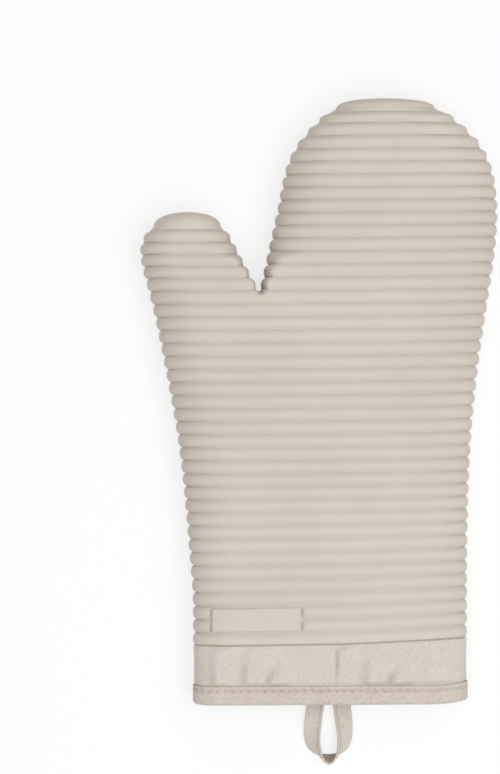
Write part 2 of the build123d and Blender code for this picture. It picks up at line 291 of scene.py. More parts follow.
def depth_at(level):
    """Depth of the back below the parting plane; the cuff is held just off the table."""
    return BACK_DEPTH - CUFF_LIFT * (1 - smooth((level - CUFF_HEIGHT) / RIB_PITCH))


def rounded(distance, reach, power):
    """Height, from 0 at the edge to 1, of a face that swells up within a reach."""
    share = 1 - np.clip(distance / reach, 0, 1)
    return (1 - share**power) ** (1 / power)


def lift(part, level, x, left, right, inset, front):
    """Height of the face or the back over points of one row."""
    (x_left, c_left), (x_right, c_right) = left, right
    ease = smooth((level - SPLIT) / WEB_LENGTH)
    if part == "thumb":
        c_right = WEB + (c_right - WEB) * ease
    if part == "fingers":
        c_left = WEB + (c_left - WEB) * ease
    gaps = [np.maximum((x - x_left) * c_left, 1e-6), np.maximum((x_right - x) * c_right, 1e-6)]
    if part == "palm":
        gaps.append(np.maximum(WEB * np.hypot(x - CROTCH[0], SPLIT - level), 1e-6))
    near = sum(gap**-BLEND_POWER for gap in gaps) ** (-1 / BLEND_POWER)
    start, stop = REACH_LEVELS
    reach = CUFF_REACH + (PALM_REACH - CUFF_REACH) * smooth((level - start) / (stop - start))
    if part == "thumb":
        reach -= (PALM_REACH - THUMB_REACH) * ease
    swell = rounded(near, reach, FACE_POWER) if front else rounded(near, BACK_REACH, BACK_POWER)
    # Grooves run out toward the edge, where the surface meets the parting plane
    sink = inset * (1 - (1 - swell) ** 3) * (0.7 + 0.3 * smooth((swell - 0.5) / 0.4))
    if front:
        return PARTING + rise_at(level) * swell - sink
    return PARTING - depth_at(level) * swell + sink


def places_across(part, left, right, shares):
    """Places across a row; the palm's row is shared out on both sides of the crotch."""
    thumb_shares, finger_shares = shares
    if part == "palm":
        return np.concatenate([
            left + (CROTCH[0] - left) * thumb_shares,
            CROTCH[0] + (right - CROTCH[0]) * finger_shares[1:],
        ])
    return left + (right - left) * (thumb_shares if part == "thumb" else finger_shares)


def row_of(part, level, inset, shares, front):
    """Points of one row across a part, at shares of its width."""
    left, right = [edge_at(name, level, inset) for name in SIDES[part]]
    x = places_across(part, left[0], right[0], shares)
    z = lift(part, level, x, left, right, inset, front)
    return np.column_stack([x, np.full_like(x, level), z])


def spread(count, extra=()):
    """Shares from 0 to 1, closer at the ends, with extra places."""
    crowding = 0.65
    even = np.linspace(0, 1, count + 1)
    shares = (1 - crowding) * even + crowding * (0.5 - 0.5 * np.cos(np.pi * even))
    return np.unique(np.round(np.concatenate([shares, np.array(extra, float)]), 6))


def grid_faces(rows, columns, offset=0, flip=False, ring=False):
    """Four-sided faces over a grid of points, closed round if it is a ring."""
    width = columns if ring else columns - 1
    i, j = np.meshgrid(np.arange(rows - 1), np.arange(width), indexing="ij")
    k = (j + 1) % columns
    faces = np.stack([i * columns + j, i * columns + k, (i + 1) * columns + k, (i + 1) * columns + j], -1)
    faces = faces.reshape(-1, 4) + offset
    return faces[:, ::-1] if flip else faces


def add_mesh(name, points, faces, flat=None, weld=0.004):
    """Mesh object from points in millimetres, welded and smooth."""
    mesh = bpy.data.meshes.new(name)
    places = (np.asarray(points) * (WIDEN, 1, 1) + ORIGIN) * MM
    mesh.from_pydata(places.tolist(), [], [list(map(int, face)) for face in faces])
    if flat is not None:
        layer = mesh.uv_layers.new(name="cloth")
        corners = np.empty(len(mesh.loops), dtype=np.int32)
        mesh.loops.foreach_get("vertex_index", corners)
        layer.data.foreach_set("uv", (np.asarray(flat)[corners] * MM).ravel())
    thing = bpy.data.objects.new(name, mesh)
    bpy.context.scene.collection.objects.link(thing)
    if weld:
        shape = bmesh.new()
        shape.from_mesh(mesh)
        bmesh.ops.remove_doubles(shape, verts=shape.verts, dist=weld * MM)
        bmesh.ops.dissolve_degenerate(shape, edges=shape.edges, dist=1e-8)
        bmesh.ops.recalc_face_normals(shape, faces=shape.faces)
        shape.to_mesh(mesh)
        shape.free()
    mesh.polygons.foreach_set("use_smooth", np.ones(len(mesh.polygons), dtype=bool))
    mesh.update()
    return thing


# Ribbed silicone shell: each rib is a soft bead with a rounded, stepped end
def rib_wave(level, last):
    """0 on a rib's crest to 1 in a groove; above the last groove the cap has none."""
    turn = (level - CUFF_HEIGHT) / RIB_PITCH
    turn = min(turn, last + 0.5)
    return 2 * abs(turn - math.floor(turn) - 0.5)


def face_inset(level, last):
    """How far the ribbed face lies below its crests."""
    share = rib_wave(level, last)
    bead = min(share, RIB_CROWN) ** 2 + 2 * RIB_CROWN * max(share - RIB_CROWN, 0)
    crease = RIB_CREASE * (1 - smooth((1 - share) / CREASE_WIDTH))
    return RIB_DEPTH * bead / (RIB_CROWN * (2 - RIB_CROWN)) + crease


def edge_inset(level, last):
    """How far a rib's end lies inside the outline, a round scallop."""
    return RIB_SCALLOP * (1 - math.sqrt(1 - (SCALLOP_ROUND * rib_wave(level, last)) ** 2))


def stair(level, last):
    """Shift that makes the outline step from rib to rib."""
    turn = min((level - CUFF_HEIGHT) / RIB_PITCH, last + 0.5)
    return RIB_STEP * RIB_PITCH / (2 * math.pi) * math.sin(2 * math.pi * turn)


# Ribs crowd down from a domed tip: an amount, and the levels where it starts and is reached
SETTLE = {"palm": (), "thumb": ((2.5, 222, 264),), "fingers": ((1.5, 235, 320), (1.2, 313, 323))}


def settle(part, level):
    """How far the ribs crowd down from the tip of a part."""
    return sum(amount * smooth((level - start) / (stop - start)) for amount, start, stop in SETTLE[part])


def up_cuff(level):
    """Share of the way from the binding to the top of the cuff."""
    return np.clip((level - BINDING_HEIGHT) / CUFF_RUN, 0, 1)


def rib_drop(part, level, x):
    """How far a rib lies below its even place; the ribs run slightly down to the thumb side."""
    raised = RIB_RAISE * smooth((level - CUFF_HEIGHT) / RAISE_RUN)
    turned_up = CORNER_RISE * smooth(x / CORNER_WIDTH) * (1 - smooth((level - CUFF_HEIGHT) / CORNER_RUN))
    return (RIB_TILT * (TILT_PIVOT - x) - turned_up) * up_cuff(level) - raised + settle(part, level)


# Rows of the mesh above and below each groove, closest at the groove
RIB_ROWS = np.array([0, 0.12, 0.25, 0.5, 0.75, 1.0, 1.3, 1.65, 2.05, 2.5, 3.0, RIB_PITCH / 2])
SPLIT_ROW = SPLIT + RIB_TILT * (TILT_PIVOT - CROTCH[0]) - RIB_RAISE


def rib_levels(first, last, start, stop):
    """Levels of the rows over a run of ribs."""
    levels = [start, stop]
    for rib in range(first, last + 1):
        groove = CUFF_HEIGHT + rib * RIB_PITCH
        levels += list(groove + RIB_ROWS) + list(groove - RIB_ROWS)
    levels = np.unique(np.round(levels, 4))
    return levels[(levels >= start - 1e-3) & (levels <= stop + 1e-3)]


PLATE_SHARES = (
    (PLATE_X[0] + HALF_CUFF) / (CROTCH[0] + HALF_CUFF),
    (PLATE_X[1] - CROTCH[0]) / (HALF_CUFF - CROTCH[0]),
)
# Extra columns stand close together about each end of the plate
STEPS = np.arange(-14, 15) * 0.15
SHELL_SHARES = (
    spread(30, PLATE_SHARES[0] + STEPS / (CROTCH[0] + HALF_CUFF)),
    spread(60, PLATE_SHARES[1] + STEPS / (HALF_CUFF - CROTCH[0])),
)


def plate_cover(x, y):
    """Shares of the plate, of the gap at each of its ends, of the rib ends beyond and of its rim."""
    from_left, from_right = x - PLATE_X[0], PLATE_X[1] - x
    from_low, from_high = y - PLATE_Y[0], PLATE_Y[1] - y
    inside_y = smooth(from_low / PLATE_SOFT) * smooth(from_high / PLATE_SOFT)
    inside_x = smooth(from_left / PLATE_SOFT) * smooth(from_right / PLATE_SOFT)
    margin = PLATE_GAP + PLATE_SOFT
    span_x = smooth((from_left + margin) / PLATE_SOFT) * smooth((from_right + margin) / PLATE_SOFT)
    beyond = np.maximum(-np.minimum(from_left, from_right) - PLATE_GAP, 0)
    rounding = np.clip(1 - beyond / RIB_END_WIDTH, 0, 1) ** 2 * (1 - span_x)
    border = np.minimum(np.minimum(from_left, from_right), np.minimum(from_low, from_high))
    rim = bump(border, RIM_PLACE, RIM_WIDTH)
    return inside_x * inside_y, span_x * (1 - inside_x) * inside_y, rounding * inside_y, rim


def rib_end(name, part, level, last, inset, rise):
    """Place of a rib's end on an outline edge; rise runs from 0 to 1 over the cap to the tip."""
    x, square = edge_at(name, level, 0)
    inset = inset * square**2
    for _ in range(3):
        y = level - rib_drop(part, level, x) + stair(level, last)
        if rise:
            tip = tip_level(part, 0)
            y = y + (tip - TIP_GAP - y) * rise**CAP_POWER
        x, square = edge_at(name, y, inset)
    return x, square


def shell_row(part, level, last, front, rise=0.0):
    """One row across the shell's outer surface."""
    under = smooth((CUFF_HEIGHT - level) / 1.2)
    inset = edge_inset(max(level, CUFF_HEIGHT), last) * (1 - rise) + FLANGE_INSET * under
    left, right = [rib_end(name, part, level, last, inset, rise) for name in SIDES[part]]
    x = places_across(part, left[0], right[0], SHELL_SHARES)
    y = level - rib_drop(part, level, x)
    if rise:
        y = y + (tip_level(part, 0) - TIP_GAP - y) * rise
    low = face_inset(max(level, CUFF_HEIGHT), last) + FLANGE_SINK * under
    if level < CUFF_HEIGHT + RIB_PITCH / 2:
        rising = (level - CUFF_HEIGHT) / RIB_PITCH * 2
        seam = SEAM_DEPTH * (1 - smooth((rising - 0.12) / 0.2)) * smooth((level - 31) / 2)
        low = low * (0.5 + 0.5 * smooth(rising)) + seam
    z = lift(part, y, x, left, right, low, front)
    if rise == 1:
        z[:] = PARTING
    if front and part == "palm":
        plate, gap, rounding, rim = plate_cover(x, level)
        covers = (
            (rounding, low + RIB_END_SINK),
            (plate, PLATE_INSET - PLATE_RIM * rim),
            (gap, GAP_DEPTH - GAP_RISE * rib_wave(level, last)),
        )
        for share, depth in covers:
            z = z + share * (lift(part, y, x, left, right, depth, front) - z)
    return np.column_stack([x, y, z])


def shell_rows(part, levels, last, front):
    """Rows of a part of the shell, with a rounded cap on the thumb and the fingers."""
    rows = [shell_row(part, level, last, front) for level in levels]
    if part != "palm":
        for share in np.linspace(0, 1, CAP_ROWS + 1)[1:]:
            rows.append(shell_row(part, levels[-1], last, front, math.sin(share * math.pi / 2)))
    return np.array(rows)


def build_shell():
    """Outer skin of the shell, front and back, with its flange below the cuff."""
    palm = np.concatenate([FLANGE_LEVELS, rib_levels(0, CROTCH_RIBS, CUFF_HEIGHT, SPLIT_ROW)])
    thumb, fingers = [
        rib_levels(CROTCH_RIBS, last, SPLIT_ROW, CUFF_HEIGHT + (last + 0.5) * RIB_PITCH)
        for last in (THUMB_RIBS, FINGER_RIBS)
    ]
    points, faces, count = [], [], 0
    for front in (True, False):
        grids = [
            shell_rows("palm", palm, FINGER_RIBS, front),
            shell_rows("thumb", thumb, THUMB_RIBS, front),
            shell_rows("fingers", fingers, FINGER_RIBS, front),
        ]
        grids[1][0] = grids[0][-1][: len(SHELL_SHARES[0])]
        grids[2][0] = grids[0][-1][len(SHELL_SHARES[0]) - 1:]
        for grid in grids:
            points.append(grid.reshape(-1, 3))
            faces.append(grid_faces(grid.shape[0], grid.shape[1], count, flip=not front))
            count += grid.shape[0] * grid.shape[1]
    return add_mesh("silicone_skin", np.vstack(points), np.vstack(faces))


shell = build_shell()
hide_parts("silicone_shell")

# Soft layers inside: wadding and lining, each a front and a back panel
LAYER_SHARES = (spread(18), spread(36))


def layer_grids(levels, insets, front):
    """Smooth surface inside the shell, as rows for palm, thumb and fingers."""
    grids = []
    for part in ("palm", "thumb", "fingers"):
        chosen, depths = levels, insets
        if part != "palm":
            tip = tip_level(part, insets[-1]) - 0.01
            chosen = SPLIT + (tip - SPLIT) * np.sin(np.linspace(0, 1, 26) * np.pi / 2)
            depths = np.full(len(chosen), insets[-1])
        rows = [row_of(part, level, inset, LAYER_SHARES, front) for level, inset in zip(chosen, depths)]
        grids.append(np.array(rows))
    return grids


def panel(name, levels, outer, inner, front):
    """Closed soft panel between two depths below the rib crests."""
    points, faces, count = [], [], 0
    for insets, turned in ((outer, not front), (inner, front)):
        for grid in layer_grids(levels, insets, front):
            points.append(grid.reshape(-1, 3))
            faces.append(grid_faces(grid.shape[0], grid.shape[1], count, flip=turned))
            count += grid.shape[0] * grid.shape[1]
    return add_mesh(name, np.vstack(points), np.vstack(faces))


upper_levels = np.linspace(60, SPLIT, 40)[1:]
palm_levels = np.concatenate([np.linspace(25.4, 60, 16), upper_levels])
pad_outer, pad_inner = [np.full(len(palm_levels), inset) for inset in WADDING_INSETS]
for side in ("front", "back"):
    pad = panel(f"wadding_{side}_pad", palm_levels, pad_outer, pad_inner, side == "front")
    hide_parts(f"wadding_{side}")
    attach(pad, "mitt")

lining_levels = np.concatenate([np.linspace(1.2, 25, 18), np.linspace(26, 60, 14), upper_levels])
hem_inset, palm_inset = LINING_INSETS
lining_outer = hem_inset + (palm_inset - hem_inset) * smooth((lining_levels - 9.8) / 10)
lining_inner = lining_outer + CLOTH
for side in ("front", "back"):
    cloth = panel(f"lining_{side}_cloth", lining_levels, lining_outer, lining_inner, side == "front")
    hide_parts(f"lining_{side}")
    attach(cloth, "mitt")


# Cuff: a ring of cloth in two panels, puckered by the hem stitches
def hem_rise(x):
    """How far the hem turns up at its right corner."""
    return HEM_RISE * smooth((x - 50) / 26) ** 1.5


def hoop_point(level, inset, share, front):
    """Points round one face of the cuff, at shares of its width."""
    half = HALF_CUFF - inset
    x = -half + 2 * half * share
    z = lift("cuff", level, x, (-half, 1.0), (half, 1.0), inset, front)
    return np.column_stack([x, level + hem_rise(x), z])


# Pull folds: crest, level, length, steep width, gentle width, height and lean of each
FOLDS = (
    (-62.0, 13.0, 17.0, 3.4, 6.5, 3.2, 0.0),
    (-44.8, 13.0, 15.0, 3.8, 6.0, 4.2, 0.02),
    (-33.2, 12.0, 7.5, 3.4, 8.0, 4.6, 0.45),
    (4.6, 24.0, 11.0, 3.0, 6.0, 2.8, 0.02),
    (1.6, 25.0, 7.5, 0.9, 0.9, -1.6, 0.02),
    (20.4, 13.0, 15.0, 3.8, 6.0, 4.2, 0.05),
    (33.0, 12.0, 7.5, 3.6, 8.0, 4.8, 0.45),
    (52.0, 13.0, 9.0, 4.0, 9.0, 1.2, 0.2),
)


def folds(x, y):
    """Height of the cuff's pull folds, each steep on its left and gentle on its right."""
    total = np.zeros_like(x)
    for crest, level, length, steep, gentle, height, lean in FOLDS:
        aside = x - crest - lean * (y - level)
        total += height * bump(aside, 0, np.where(aside < 0, steep, gentle)) * bump(y, level, length)
    return total


def ripple(x, y, seed, scale):
    """Low uneven waves, the same on every run."""
    waves = 9
    chance = np.random.default_rng(seed)
    total = np.zeros_like(x)
    for _ in range(waves):
        turn = chance.uniform(0, 2 * np.pi)
        size = chance.uniform(0.6, 1.8) * scale
        start = chance.uniform(0, 2 * np.pi)
        total += np.sin((x * np.cos(turn) + y * np.sin(turn)) * 2 * np.pi / size + start)
    return total / waves


def slab(name, outer, inner, flat):
    """Closed cloth panel from its outer and inner grid of points."""
    rows, columns = outer.shape[:2]
    points = np.vstack([outer.reshape(-1, 3), inner.reshape(-1, 3)])
    size = rows * columns
    faces = [grid_faces(rows, columns), grid_faces(rows, columns, size, flip=True)]
    rim = list(range(columns)) + [r * columns + columns - 1 for r in range(1, rows)]
    rim += [(rows - 1) * columns + c for c in range(columns - 2, -1, -1)]
    rim += [r * columns for r in range(rows - 2, 0, -1)]
    rim = np.array(rim)
    after = np.roll(rim, -1)
    faces.append(np.column_stack([after, rim, rim + size, after + size]))
    return add_mesh(name, points, np.vstack(faces), np.vstack([flat, flat]), weld=0.0005)


CUFF_COLUMNS = spread(320)
plain_rows = np.concatenate([np.linspace(1.3, 10.0, 9), np.linspace(10.5, 32.0, 62)])
cuff_rows = np.concatenate([plain_rows, [32.6, 33.0, 33.3, 33.45, 33.55, 33.55, 33.45]])
cuff_tuck = np.concatenate([np.zeros(len(plain_rows)), [0.05, 0.15, 0.35, 0.6, 0.95, 1.35, 1.7]])


def cuff_grid(front, thickness):
    """Rows of a cuff panel, bellied between the seam and the binding."""
    rows = []
    for level, tuck in zip(cuff_rows, cuff_tuck):
        belly = CUFF_BELLY * smooth((level - 9.9) / 1.6) + CUFF_BELLY * smooth((level - 24) / 8)
        inset = CUFF_INSET + tuck + thickness - belly
        row = hoop_point(level, inset, CUFF_COLUMNS, front)
        x = row[:, 0]
        fade = smooth((HALF_CUFF - np.abs(x)) / 10) * smooth((33.3 - level) / 3)
        dent = -folds(x, level) if front else 0.5 * np.abs(folds(-x * 0.93 + 6, level))
        dent = dent * smooth((level - 9.8) / 3.2) + CUFF_RIPPLE * ripple(x, np.full_like(x, level), 3, 9)
        row[:, 2] -= dent * fade * (1 if front else -1)
        row[:, 1] -= rib_drop("palm", level, x) + up_cuff(level) * hem_rise(x)
        rows.append(row)
    return np.array(rows)


def unrolled(grid):
    """Flat cloth coordinates of a grid, along its rows and across them."""
    along = np.cumsum(np.linalg.norm(np.diff(grid, axis=1, prepend=grid[:, :1]), axis=2), axis=1)
    up = np.cumsum(np.linalg.norm(np.diff(grid, axis=0, prepend=grid[:1]), axis=2), axis=0)
    return np.stack([along, up], -1).reshape(-1, 2)


for side in ("front", "back"):
    front = side == "front"
    outer, inner = cuff_grid(front, 0.0), cuff_grid(front, CLOTH)
    cuff = slab(f"cuff_{side}_cloth", outer, inner, unrolled(outer))
    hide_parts(f"cuff_{side}")
    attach(cuff, "mitt")

# Hem binding: one tape folded round the mouth, with a dimple under each stitch
RING = 900


def ring_row(level, inset):
    """Points right round the cuff at a level, evenly spaced, from the left edge over the front."""
    share = spread(400)
    over = hoop_point(level, inset, share, True)
    under = hoop_point(level, inset, share[::-1], False)
    loop = np.vstack([over, under[1:]])
    run = run_along(loop)
    return at_stops(np.linspace(0, run[-1], RING, endpoint=False), run, loop), run[-1]


def binding_profile():
    """Level and inset of the tape's section: up the outside, round the hem and up the inside."""
    section = [(9.9, 0.75), (10.2, 0.62), (10.32, 0.35), (10.25, 0.1)]
    section += [(level, 0.0) for level in np.linspace(10.0, HEM_BEND, 22)]
    for turn in np.linspace(0.1, 1, 10):
        angle = turn * np.pi
        section.append((HEM_BEND - HEM_BEND * np.sin(angle), HEM_FOLD - HEM_FOLD * np.cos(angle)))
    section += [(level, 2 * HEM_FOLD) for level in np.linspace(1.8, 10.0, 10)]
    return section + [(10.25, 3.5), (10.3, 3.2), (10.0, 2.9)]


def build_binding():
    """The folded tape as one closed ring."""
    section = binding_profile()
    rows = []
    for level, inset in section:
        row, length = ring_row(level, inset)
        run = np.arange(RING) * length / RING
        if inset < 1.0 and level > 1.0:
            stitches = round(length / STITCH_SPACING)
            beat = np.cos(2 * np.pi * run / length * stitches)
            deeper = row.copy()
            deeper[:, 0] *= 1 - 2.0 / HALF_CUFF
            deeper[:, 2] = PARTING + (row[:, 2] - PARTING) * (1 - 2.0 / CUFF_RISE)
            inward = deeper - row
            inward /= np.maximum(np.linalg.norm(inward, axis=1)[:, None], 1e-9)
            groove = STITCH_GROOVE * bump(level, STITCH_LEVEL, 1.1)
            pucker = STITCH_PUCKER * (0.5 + 0.5 * beat) ** 3 * bump(level, STITCH_LEVEL, 0.8)
            uneven = BINDING_RIPPLE * ripple(run, np.full_like(run, level * 0.6), 11, 17)
            uneven = uneven * smooth((10.4 - level) / 2 + 0.4)
            row = row + inward * (groove + pucker + uneven)[:, None]
        rows.append(row)
    grid = np.array(rows)
    faces = grid_faces(len(rows), RING, ring=True)
    return add_mesh("hem_binding_tape", grid.reshape(-1, 3), faces, unrolled(grid), weld=0)


binding = build_binding()
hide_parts("hem_binding")
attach(binding, "mitt")


# Stitches: short lengths of twisted thread that dip into the cloth at both ends
def thread_stitches(name, places, length, dip):
    """One mesh of stitches; each place is a middle, a direction along and a direction out."""
    sides, stations = 8, 13
    points, faces, count = [], [], 0
    for middle, along, out in places:
        across = np.cross(out, along)
        for station in range(stations):
            share = 2 * station / (stations - 1) - 1
            height = dip * (1 - abs(share) ** 2.6) - dip
            spot = middle + along * (length / 2 * share) + out * height
            for corner in range(sides):
                angle = 2 * np.pi * corner / sides + THREAD_TWIST * share
                swell = THREAD / 2 * (1 + 0.16 * np.cos(2 * (angle - 2 * THREAD_TWIST * share)))
                points.append(spot + swell * (np.cos(angle) * across + np.sin(angle) * out))
        faces.append(grid_faces(stations, sides, count, ring=True))
        count += stations * sides
    return add_mesh(name, np.array(points), np.vstack(faces), weld=0)


stitch_row, stitch_length = ring_row(STITCH_LEVEL, -0.02)
stitch_count = round(stitch_length / STITCH_SPACING)
hem_places = []
for stitch in range(stitch_count):
    index = (stitch + 0.5) * RING / stitch_count
    low = int(index)
    middle = stitch_row[low] + (index - low) * (stitch_row[(low + 1) % RING] - stitch_row[low])
    along = stitch_row[(low + 3) % RING] - stitch_row[(low - 3) % RING]
    along /= np.linalg.norm(along)
    out = np.cross(along, UP_HAND)
    if np.dot(out, middle - np.array([0, STITCH_LEVEL, PARTING])) < 0:
        out = -out
    hem_places.append((middle, along, out))
hem_stitches = thread_stitches("hem_stitch_thread", hem_places, STITCH_LENGTH, 0.4)
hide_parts("hem_stitching")
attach(hem_stitches, "mitt")

# Hanging loop: a folded tape that leaves the hem flat and tips up on edge round the bend
swing = np.linspace(0, np.pi / 2, 40)


def half_line(leg, width, drop, power):
    """One edge of the tape from the hem to the middle of the bend, as evenly spaced points."""
    bend = np.column_stack([width * np.cos(swing) ** power, leg[-1][1] - drop * np.sin(swing) ** power])
    points = np.vstack([spline(leg, (0, -1), (0, -1), 12), bend[1:]])
    run = run_along(points)
    return at_stops(np.linspace(0, run[-1], 70), run, points)


# Each edge runs down a leg and then round half of the bend
outer_leg = [(12.2, HINGE_LEVEL), (13.0, -8.4), (13.4, -15.8)]
inner_leg = [(2.2, HINGE_LEVEL), (3.0, -8.4), (4.75, -23.6)]
outer_half = half_line(outer_leg, 13.4, 14.9, 0.72)
inner_half = half_line(inner_leg, 4.75, LOOP_DROP - 23.6, 1.0)
apart = np.linalg.norm(outer_half - inner_half, axis=1)
share = np.linspace(0, 1, len(apart))
outer_z = HINGE_HEIGHT + (0.75 * TAPE_THICKNESS - HINGE_HEIGHT) * smooth(share / 0.75)
# The edges lie closer than the tape is wide, so the inner one stands up by the rest
stand = np.sqrt(np.maximum(TAPE_WIDTH**2 - apart**2, 0)) * smooth(share / 0.14)
for _ in range(60):
    stand[1:-1] = 0.25 * stand[:-2] + 0.5 * stand[1:-1] + 0.25 * stand[2:]
inner_z = outer_z + stand


def whole_line(half, height):
    """Both halves of one edge of the tape, from the left hinge to the right one."""
    right = np.column_stack([half, height])
    left = right * (-1, 1, 1)
    return np.vstack([left, right[::-1][1:]]) + (LOOP_OFFSET, 0, 0)


outer_line = whole_line(outer_half, outer_z)
inner_line = whole_line(inner_half, inner_z)

TAPE_COLUMNS = 44


def tape_section():
    """Rounded section of the tape, with a sewn crease beside its inner edge; the underside comes last."""
    half, thick = TAPE_WIDTH / 2, TAPE_THICKNESS / 2
    turns = np.linspace(1.3, -1.3, 6)
    across = np.linspace(-half + thick, half - thick, TAPE_COLUMNS)
    crease = 0.34 * bump(across, half - 1.55, 0.32)
    right = [(half - thick + thick * math.cos(a), thick * math.sin(a)) for a in turns]
    left = [(-half + thick - thick * math.cos(a), thick * math.sin(a)) for a in -turns]
    top = np.column_stack([across, thick - crease])
    under = np.column_stack([across[::-1], crease[::-1] - thick])
    return np.vstack([left, top, right, under])


def tape_frames(outer, inner):
    """Middle, breadth and face direction of the tape at each station."""
    middle = (outer + inner) / 2
    breadth = inner - outer
    breadth /= np.linalg.norm(breadth, axis=1)[:, None]
    course = np.gradient(middle, axis=0)
    course -= breadth * np.sum(course * breadth, axis=1)[:, None]
    course /= np.linalg.norm(course, axis=1)[:, None]
    return middle, breadth, np.cross(course, breadth)


loop_middle, loop_breadth, loop_face = tape_frames(outer_line, inner_line)

END_TURNS = (0.35, 0.7, 0.9, 1.0)


def sweep_tape(name, middle, breadth, face, ends):
    """Tape swept along its frames, with rounded ends."""
    section = tape_section()

    def section_at(station, shift, squeeze):
        """Section of the tape at a station, shifted and squeezed in its thickness."""
        place = middle[station] + shift
        return place + section[:, :1] * breadth[station] + section[:, 1:] * face[station] * squeeze

    rows = [section_at(station, 0.0, 1.0) for station in range(len(middle))]
    first, last = [], []
    for turn in END_TURNS:
        squeeze = math.sqrt(1 - turn * turn) if turn < 1 else 0.02
        beyond = TAPE_THICKNESS / 2 * turn
        first.insert(0, section_at(0, ends[0] * beyond, squeeze))
        last.append(section_at(-1, ends[1] * beyond, squeeze))
    grid = np.array(first + rows + last)
    run = np.pad(run_along(middle), len(END_TURNS), mode="edge")
    flat = np.stack(np.broadcast_arrays(section[None, :, 0], run[:, None]), -1).reshape(-1, 2)
    size = len(section)
    sides = grid_faces(len(grid), size, ring=True)
    caps = [list(range(size))[::-1], [(len(grid) - 1) * size + k for k in range(size)]]
    tape = add_mesh(name, grid.reshape(-1, 3), sides.tolist() + caps, flat, weld=0)
    # Faces of the tape's underside, which are later given the darker cloth as painted shade
    column = np.arange(len(sides)) % size
    tape["under"] = np.flatnonzero(column >= size - TAPE_COLUMNS).tolist()
    return tape


loop = sweep_tape("hanging_loop_tape", loop_middle, loop_breadth, loop_face, (UP_HAND, UP_HAND))
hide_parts("hanging_loop")
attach(loop, "loop")

TAIL_PLACES = {
    "left": LOOP_OFFSET - (LOOP_GAP + TAPE_WIDTH) / 2,
    "right": LOOP_OFFSET + (LOOP_GAP + TAPE_WIDTH) / 2,
}
tails = []
for side, x in TAIL_PLACES.items():
    y = np.linspace(TAPE_THICKNESS / 2, TAIL_LENGTH - TAPE_THICKNESS / 2, 24)
    middle = np.column_stack([np.full_like(y, x), y, np.full_like(y, HINGE_HEIGHT)])
    breadth = np.tile(ACROSS, (len(y), 1))
    face = np.tile(OUTWARD, (len(y), 1))
    tails.append(sweep_tape(f"loop_tail_tape_{side}", middle, breadth, face, (-UP_HAND, UP_HAND)))
for tail in tails:
    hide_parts("loop_tails")
    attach(tail, "mitt")

# Bar tacks on the tails: close zigzag stitches across the tape
tack_places = []
for x in TAIL_PLACES.values():
    for share in (0.3, 0.75):
        for step in np.linspace(-0.4, 0.4, 15):
            spot = np.array([x + step * TAPE_WIDTH, share * TAIL_LENGTH, HINGE_HEIGHT + 0.86])
            tack_places.append((spot, UP_HAND, OUTWARD))
tacks = thread_stitches("loop_tack_thread", tack_places, 1.3, 0.25)
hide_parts("loop_bar_tacks")
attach(tacks, "mitt")

# Row of stitches along the inner edge of the tape
edge_path = loop_middle + 0.34 * TAPE_WIDTH * loop_breadth + loop_face * (TAPE_THICKNESS / 2 + 0.2)
edge_run = run_along(edge_path)
EDGE_MARGIN = 1.5
EDGE_SPACING = 3.0
sewn = edge_run[-1] - 2 * EDGE_MARGIN
edge_count = int(sewn / EDGE_SPACING)
edge_places = []
for stitch in range(edge_count):
    stop = EDGE_MARGIN + (stitch + 0.5) * sewn / edge_count
    spot = at_stops(stop, edge_run, edge_path)
    ahead = at_stops(stop + 0.5, edge_run, edge_path)
    out = at_stops(stop, edge_run, loop_face)
    along = (ahead - spot) / np.linalg.norm(ahead - spot)
    out = out - along * np.dot(out, along)
    edge_places.append((spot, along, out / np.linalg.norm(out)))
edge_stitches = thread_stitches("loop_edge_thread", edge_places, 2.1, 0.3)
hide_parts("loop_edge_stitching")
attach(edge_stitches, "loop")

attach(shell, "mitt")


# Materials
def linear(red, green, blue):
    """Scene colour of a screen colour from 0 to 255."""
    return tuple(((c / 255 + 0.055) / 1.055) ** 2.4 for c in (red, green, blue)) + (1.0,)


def material(name, roughness, specular):
    """New material with its nodes, links and main shader."""
    made = bpy.data.materials.new(name)
    made.use_nodes = True
    nodes = made.node_tree.nodes
    shader = nodes["Principled BSDF"]
    shader.inputs["Roughness"].default_value = roughness
    shader.inputs["Specular IOR Level"].default_value = specular
    return made, nodes, made.node_tree.links, shader


def noise(nodes, scale, detail, vector, links):
    """Noise texture read over a vector."""
    texture = nodes.new("ShaderNodeTexNoise")
    texture.inputs["Scale"].default_value = scale
    texture.inputs["Detail"].default_value = detail
    links.new(vector, texture.inputs["Vector"])
    return texture.outputs["Fac"]


def ramp(nodes, links, value, low, high, start=0.35, stop=0.65):
    """Colour that runs from low to high with a value."""
    scale = nodes.new("ShaderNodeValToRGB")
    scale.color_ramp.elements[0].color = low
    scale.color_ramp.elements[1].color = high
    scale.color_ramp.elements[0].position = start
    scale.color_ramp.elements[1].position = stop
    links.new(value, scale.inputs["Fac"])
    return scale.outputs["Color"]


def bumped(nodes, links, shader, height, distance, strength=1.0):
    """Bump the shader's normal by a height."""
    node = nodes.new("ShaderNodeBump")
    node.inputs["Strength"].default_value = strength
    node.inputs["Distance"].default_value = distance
    links.new(height, node.inputs["Height"])
    links.new(node.outputs["Normal"], shader.inputs["Normal"])


def silicone_material():
    """Matt moulded silicone: even colour with faint clouding, and a very fine grain."""
    made, nodes, links, shader = material("silicone", 0.62, 0.3)
    place = nodes.new("ShaderNodeTexCoord").outputs["Object"]
    cloud = noise(nodes, 22, 3, place, links)
    colour = ramp(nodes, links, cloud, linear(207, 198, 186), linear(211, 202, 191))
    links.new(colour, shader.inputs["Base Color"])
    bumped(nodes, links, shader, noise(nodes, 5200, 2, place, links), 0.00004)
    return made


# Scale of a wave texture whose bands repeat once in a metre
WAVE_UNIT = 0.314159


